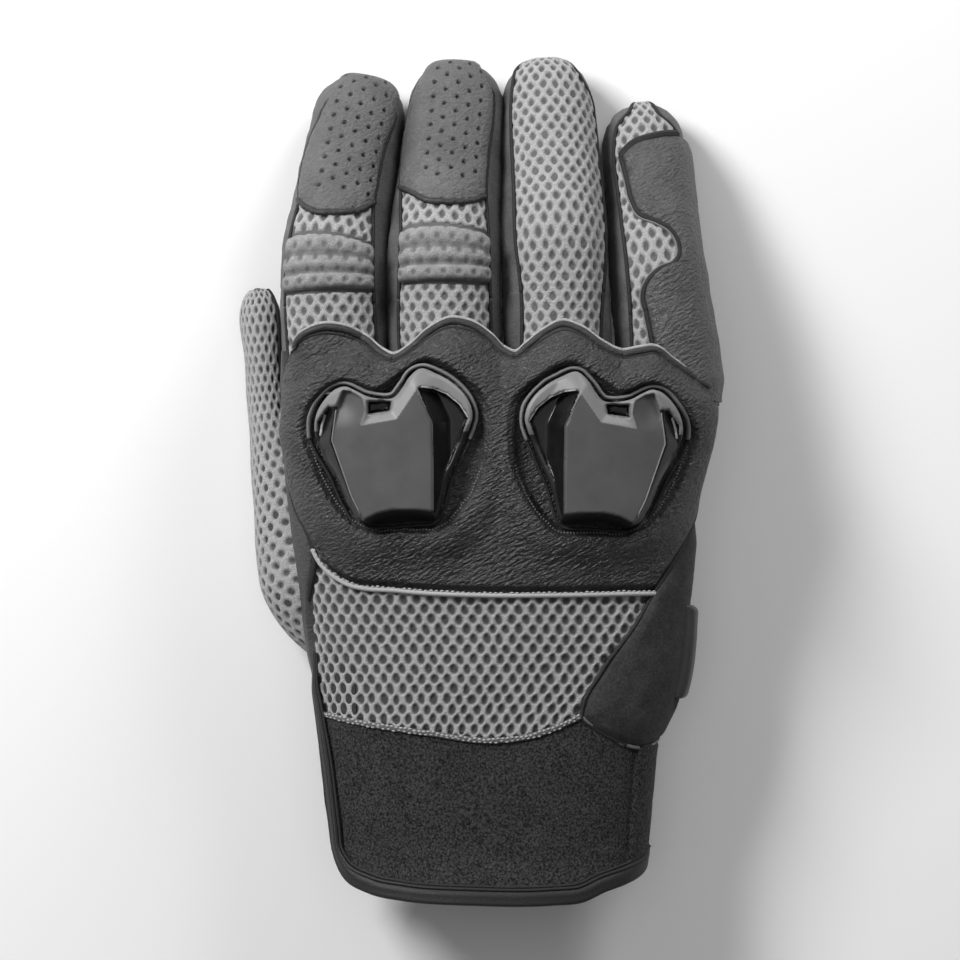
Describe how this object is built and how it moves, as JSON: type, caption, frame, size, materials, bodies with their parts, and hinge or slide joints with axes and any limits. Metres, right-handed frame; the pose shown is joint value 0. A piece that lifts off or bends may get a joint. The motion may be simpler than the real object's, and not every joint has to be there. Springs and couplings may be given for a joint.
{
  "type": "riding glove",
  "caption": "Right-hand short-cuff motorcycle glove with mesh back, hard knuckle guards, leather fingertips, bending fingers, opening thumb and a wrist strap.",
  "frame": {"origin": "centre of the footprint, on the surface the glove lies on", "axes": "+Y from the cuff to the fingertips, +X to the little-finger side, +Z out of the back of the hand"},
  "size_m": [0.1339, 0.2373, 0.0579],
  "materials": {
    "air_mesh": "open knitted air mesh, matt",
    "leather": "dark grained leather, semi-matt",
    "suede": "dark suede, matt",
    "guard_plastic": "moulded plastic, matt crown and gloss sides",
    "slider_rubber": "moulded rubber, satin",
    "foam": "closed-cell foam",
    "lining": "tricot lining, matt",
    "neoprene": "laminated neoprene, fine knit face",
    "binding": "woven binding tape",
    "piping": "corded piping",
    "hook_and_loop": "hook-and-loop tape",
    "rib_fabric": "stretch ribs"
  },
  "bodies": {
    "hand": {"back_mesh_panel": "air_mesh", "cuff_binding": "binding", "guard_welts": "piping", "hand_lining": "lining", "heel_slider": "slider_rubber", "knuckle_foam_pads": "foam", "knuckle_guard_index_side": "guard_plastic", "knuckle_guard_pinky_side": "guard_plastic", "knuckle_leather_panel": "leather", "loop_patch": "hook_and_loop", "neoprene_cuff": "neoprene", "palm_heel_pad": "suede", "palm_leather_panel": "suede", "palm_patch": "suede", "seam_piping": "piping", "side_suede_patch": "suede", "slider_base": "leather", "strap_anchor": "neoprene"},
    "closure_strap": {"hook_patch": "hook_and_loop", "strap_band": "neoprene", "strap_pull_tab": "slider_rubber"},
    "index_lower": {"index_lower_back": "air_mesh", "index_lower_palm": "suede", "index_lower_ribs": "rib_fabric", "index_lower_sides": "leather"},
    "index_upper": {"index_tip_leather": "leather", "index_upper_back": "air_mesh", "index_upper_palm": "suede", "index_upper_ribs": "rib_fabric", "index_upper_sides": "leather"},
    "middle_lower": {"middle_lower_back": "air_mesh", "middle_lower_palm": "suede", "middle_lower_ribs": "rib_fabric", "middle_lower_sides": "leather"},
    "middle_upper": {"middle_tip_leather": "leather", "middle_upper_back": "air_mesh", "middle_upper_palm": "suede", "middle_upper_ribs": "rib_fabric", "middle_upper_sides": "leather"},
    "pinky_lower": {"pinky_lower_back": "air_mesh", "pinky_lower_leather": "leather", "pinky_lower_palm": "suede", "pinky_lower_sides": "leather"},
    "pinky_upper": {"pinky_upper_back": "air_mesh", "pinky_upper_leather": "leather", "pinky_upper_palm": "suede", "pinky_upper_sides": "leather"},
    "ring_lower": {"ring_lower_back": "air_mesh", "ring_lower_palm": "suede", "ring_lower_sides": "leather"},
    "ring_upper": {"ring_upper_back": "air_mesh", "ring_upper_palm": "suede", "ring_upper_sides": "leather"},
    "thumb_lower": {"thumb_lower_back": "air_mesh", "thumb_lower_palm": "suede"},
    "thumb_upper": {"thumb_upper_back": "air_mesh", "thumb_upper_palm": "suede"}
  },
  "joints": [
    {"name": "index_knuckle", "type": "hinge", "parent": "hand", "child": "index_lower", "pos_m": [-0.0412, 0.031, 0.034], "axis": [-0.9993, -0.0366, 0], "range_deg": [-8, 66]},
    {"name": "index_middle_joint", "type": "hinge", "parent": "index_lower", "child": "index_upper", "pos_m": [-0.0423, 0.061, 0.0325], "axis": [-0.9818, 0.19, 0], "range_deg": [-8, 72]},
    {"name": "middle_knuckle", "type": "hinge", "parent": "hand", "child": "middle_lower", "pos_m": [-0.0102, 0.032, 0.0344], "axis": [-1, -0.0063, 0], "range_deg": [-8, 66]},
    {"name": "middle_middle_joint", "type": "hinge", "parent": "middle_lower", "child": "middle_upper", "pos_m": [-0.0104, 0.0635, 0.033], "axis": [-0.9964, 0.0847, 0], "range_deg": [-8, 72]},
    {"name": "ring_knuckle", "type": "hinge", "parent": "hand", "child": "ring_lower", "pos_m": [0.0216, 0.032, 0.0334], "axis": [-0.9996, -0.0278, 0], "range_deg": [-8, 66]},
    {"name": "ring_middle_joint", "type": "hinge", "parent": "ring_lower", "child": "ring_upper", "pos_m": [0.0206, 0.068, 0.0314], "axis": [-0.9984, -0.0558, 0], "range_deg": [-8, 72]},
    {"name": "pinky_knuckle", "type": "hinge", "parent": "hand", "child": "pinky_lower", "pos_m": [0.0532, 0.028, 0.03], "axis": [-0.9912, -0.1322, 0], "range_deg": [-8, 66]},
    {"name": "pinky_middle_joint", "type": "hinge", "parent": "pinky_lower", "child": "pinky_upper", "pos_m": [0.0488, 0.061, 0.0274], "axis": [-0.9961, -0.0885, 0], "range_deg": [-8, 72]},
    {"name": "thumb_swing", "type": "hinge", "parent": "hand", "child": "thumb_lower", "pos_m": [-0.0474, -0.025, 0.0144], "axis": [0, 0, 1], "range_deg": [0, 35]},
    {"name": "thumb_tip_joint", "type": "hinge", "parent": "thumb_lower", "child": "thumb_upper", "pos_m": [-0.0602, 0.018, 0.0102], "axis": [-0.1726, -0.0221, -0.9847], "range_deg": [-8, 50]},
    {"name": "strap_opening", "type": "hinge", "parent": "hand", "child": "closure_strap", "pos_m": [0.0272, -0.0945, 0.0023], "axis": [0, -1, 0], "range_deg": [0, 140]}
  ]
}
